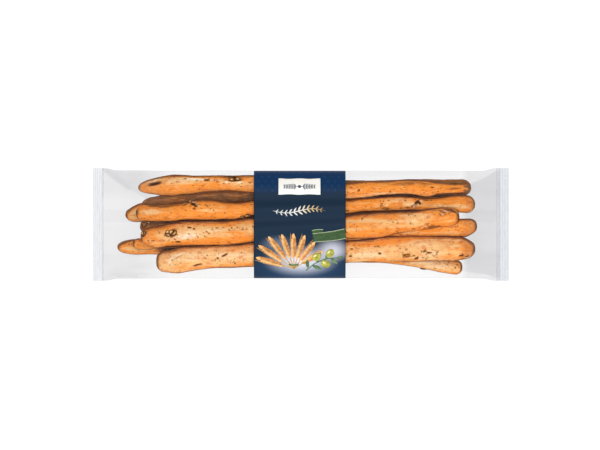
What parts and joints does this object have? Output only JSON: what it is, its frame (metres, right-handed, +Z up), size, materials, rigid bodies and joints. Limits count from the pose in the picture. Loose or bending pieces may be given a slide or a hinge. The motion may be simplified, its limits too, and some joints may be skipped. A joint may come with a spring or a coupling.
{
  "type": "breadstick pack",
  "caption": "Clear sealed flow pack of uneven baked breadsticks lying lengthwise, with crimped saw-cut ends and a dark printed band round its middle.",
  "frame": {"origin": "on the surface the pack lies on, under the middle of the pack", "axes": "+X along the pack from the left seal to the right seal, +Y across it towards the edge above the cream plate, +Z up through the shown side"},
  "size_m": [0.3, 0.0812, 0.0321],
  "materials": {
    "clear_film": "clear glossy thin plastic film, with the baked sticks showing through it",
    "printed_band": "satin navy print with a plain cream plate and a small food scene",
    "crust": "dry baked crust, golden orange, with pores and cracks",
    "olive": "dried olive pieces baked into the crust"
  },
  "bodies": {
    "root": {"bag": "clear_film", "label_band": "printed_band"}
  },
  "joints": []
}
